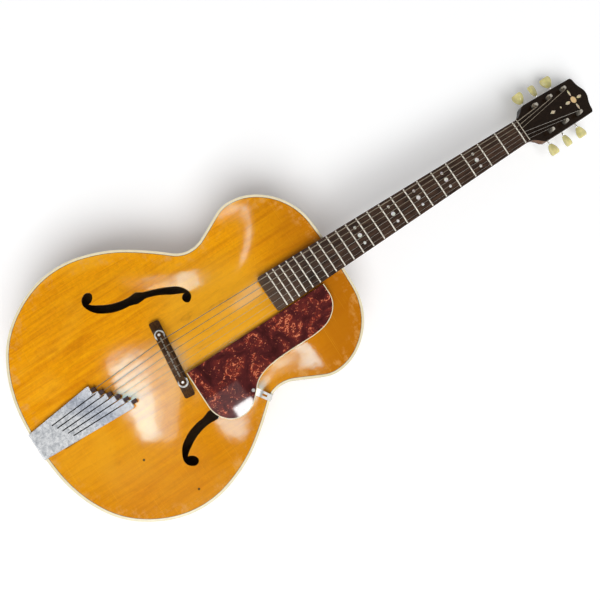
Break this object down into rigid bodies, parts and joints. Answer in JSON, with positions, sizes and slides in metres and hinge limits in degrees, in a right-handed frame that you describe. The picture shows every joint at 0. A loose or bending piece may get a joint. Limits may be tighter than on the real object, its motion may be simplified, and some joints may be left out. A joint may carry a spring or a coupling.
{
  "type": "archtop guitar",
  "caption": "Hollow-body archtop guitar with carved plates, scrolled sound holes, height-adjustable floating bridge, stepped tailpiece, raised pickguard and geared tuners.",
  "frame": {"origin": "on the ground under the middle of the whole guitar, which lies on its back", "axes": "+X to the treble side, +Y to the headstock, +Z out of the soundboard"},
  "size_m": [0.4092, 1.0348, 0.1455],
  "materials": {
    "top_wood": "gloss amber lacquer",
    "body_wood": "gloss amber lacquer",
    "neck_wood": "gloss brown lacquer",
    "inner_wood": "bare",
    "dark_wood": "oiled",
    "black_face": "gloss black lacquer",
    "cream_plastic": "polished",
    "pearl": "polished shell",
    "fret_metal": "polished",
    "bar_steel": "bare",
    "nickel": "worn nickel plate",
    "screw_steel": "plated",
    "knob_plastic": "aged cream",
    "plain_wire": "drawn wire",
    "wound_wire": "bronze winding",
    "tail_steel": "mottled, dull",
    "dark_block": "dull",
    "shell_plastic": "mottled brown and red, polished",
    "dark_post": "dull"
  },
  "bodies": {
    "instrument": {"soundboard": "top_wood", "back_plate": "body_wood", "rib_bass": "body_wood", "rib_treble": "body_wood", "neck": "neck_wood", "kerfed_linings": "inner_wood", "neck_block": "inner_wood", "tail_block": "inner_wood", "tone_bars": "inner_wood", "fingerboard": "dark_wood", "nut": "dark_wood", "bridge_base": "dark_wood", "headstock_veneer": "black_face", "top_binding": "cream_plastic", "back_binding": "cream_plastic", "heel_cap": "cream_plastic", "pickguard_edging": "cream_plastic", "position_dots": "pearl", "headstock_inlay": "pearl", "frets": "fret_metal", "neck_reinforcement": "bar_steel", "tuner_plate_bass": "nickel", "tuner_plate_treble": "nickel", "tuner_bushings": "nickel", "bridge_posts": "nickel", "pickguard_bracket": "nickel", "tuner_plate_screws": "screw_steel", "wood_screws": "screw_steel", "string_1": "plain_wire", "string_2": "plain_wire", "string_3": "plain_wire", "string_4": "wound_wire", "string_5": "wound_wire", "string_6": "wound_wire", "tailpiece": "tail_steel", "tailpiece_anchors": "dark_block", "pickguard": "shell_plastic", "pickguard_post": "dark_post"},
    "saddle": {"bridge_saddle": "dark_wood", "saddle_frets": "fret_metal"},
    "bass_wheel": {"thumbwheel_bass": "nickel"},
    "treble_wheel": {"thumbwheel_treble": "nickel"},
    "tuner_1": {"tuner_knob_1": "knob_plastic", "tuner_worm_1": "nickel"},
    "post_1": {"string_post_1": "nickel"},
    "tuner_2": {"tuner_knob_2": "knob_plastic", "tuner_worm_2": "nickel"},
    "post_2": {"string_post_2": "nickel"},
    "tuner_3": {"tuner_knob_3": "knob_plastic", "tuner_worm_3": "nickel"},
    "post_3": {"string_post_3": "nickel"},
    "tuner_4": {"tuner_knob_4": "knob_plastic", "tuner_worm_4": "nickel"},
    "post_4": {"string_post_4": "nickel"},
    "tuner_5": {"tuner_knob_5": "knob_plastic", "tuner_worm_5": "nickel"},
    "post_5": {"string_post_5": "nickel"},
    "tuner_6": {"tuner_knob_6": "knob_plastic", "tuner_worm_6": "nickel"},
    "post_6": {"string_post_6": "nickel"}
  },
  "joints": [
    {"name": "saddle_height", "type": "slide", "parent": "instrument", "child": "saddle", "axis": [0, 0, 1], "range_m": [-0.0028, 0]},
    {"name": "bass_wheel_turn", "type": "hinge", "parent": "saddle", "child": "bass_wheel", "pos_m": [-0.03526, -0.28329, 0.13169], "axis": [0, 0, 1], "range_deg": [-1440, 0]},
    {"name": "treble_wheel_turn", "type": "hinge", "parent": "saddle", "child": "treble_wheel", "pos_m": [0.03926, -0.29178, 0.13169], "axis": [0, 0, 1], "range_deg": [-1440, 0]},
    {"name": "tuner_1_turn", "type": "hinge", "parent": "instrument", "child": "tuner_1", "pos_m": [0.0236, 0.40765, 0.04996], "axis": [1, 0, 0], "continuous": true},
    {"name": "post_1_turn", "type": "hinge", "parent": "instrument", "child": "post_1", "pos_m": [0.0236, 0.40555, 0.07377], "axis": [0, 0.309, 0.9511], "continuous": true},
    {"name": "tuner_2_turn", "type": "hinge", "parent": "instrument", "child": "tuner_2", "pos_m": [0.0236, 0.44189, 0.03883], "axis": [1, 0, 0], "continuous": true},
    {"name": "post_2_turn", "type": "hinge", "parent": "instrument", "child": "post_2", "pos_m": [0.0236, 0.43978, 0.06265], "axis": [0, 0.309, 0.9511], "continuous": true},
    {"name": "tuner_3_turn", "type": "hinge", "parent": "instrument", "child": "tuner_3", "pos_m": [0.0236, 0.47613, 0.02771], "axis": [1, 0, 0], "continuous": true},
    {"name": "post_3_turn", "type": "hinge", "parent": "instrument", "child": "post_3", "pos_m": [0.0236, 0.47402, 0.05152], "axis": [0, 0.309, 0.9511], "continuous": true},
    {"name": "tuner_4_turn", "type": "hinge", "parent": "instrument", "child": "tuner_4", "pos_m": [-0.0236, 0.47613, 0.02771], "axis": [1, 0, 0], "continuous": true},
    {"name": "post_4_turn", "type": "hinge", "parent": "instrument", "child": "post_4", "pos_m": [-0.0236, 0.47402, 0.05152], "axis": [0, 0.309, 0.9511], "continuous": true},
    {"name": "tuner_5_turn", "type": "hinge", "parent": "instrument", "child": "tuner_5", "pos_m": [-0.0236, 0.44189, 0.03883], "axis": [1, 0, 0], "continuous": true},
    {"name": "post_5_turn", "type": "hinge", "parent": "instrument", "child": "post_5", "pos_m": [-0.0236, 0.43978, 0.06265], "axis": [0, 0.309, 0.9511], "continuous": true},
    {"name": "tuner_6_turn", "type": "hinge", "parent": "instrument", "child": "tuner_6", "pos_m": [-0.0236, 0.40765, 0.04996], "axis": [1, 0, 0], "continuous": true},
    {"name": "post_6_turn", "type": "hinge", "parent": "instrument", "child": "post_6", "pos_m": [-0.0236, 0.40555, 0.07377], "axis": [0, 0.309, 0.9511], "continuous": true}
  ],
  "couplings": [
    {"joint": "saddle_height", "follows": "bass_wheel_turn", "m_per_rad": 0.00011141},
    {"joint": "treble_wheel_turn", "follows": "bass_wheel_turn", "ratio": 1},
    {"joint": "post_1_turn", "follows": "tuner_1_turn", "ratio": 0.071429},
    {"joint": "post_2_turn", "follows": "tuner_2_turn", "ratio": 0.071429},
    {"joint": "post_3_turn", "follows": "tuner_3_turn", "ratio": 0.071429},
    {"joint": "post_4_turn", "follows": "tuner_4_turn", "ratio": 0.071429},
    {"joint": "post_5_turn", "follows": "tuner_5_turn", "ratio": 0.071429},
    {"joint": "post_6_turn", "follows": "tuner_6_turn", "ratio": 0.071429}
  ]
}
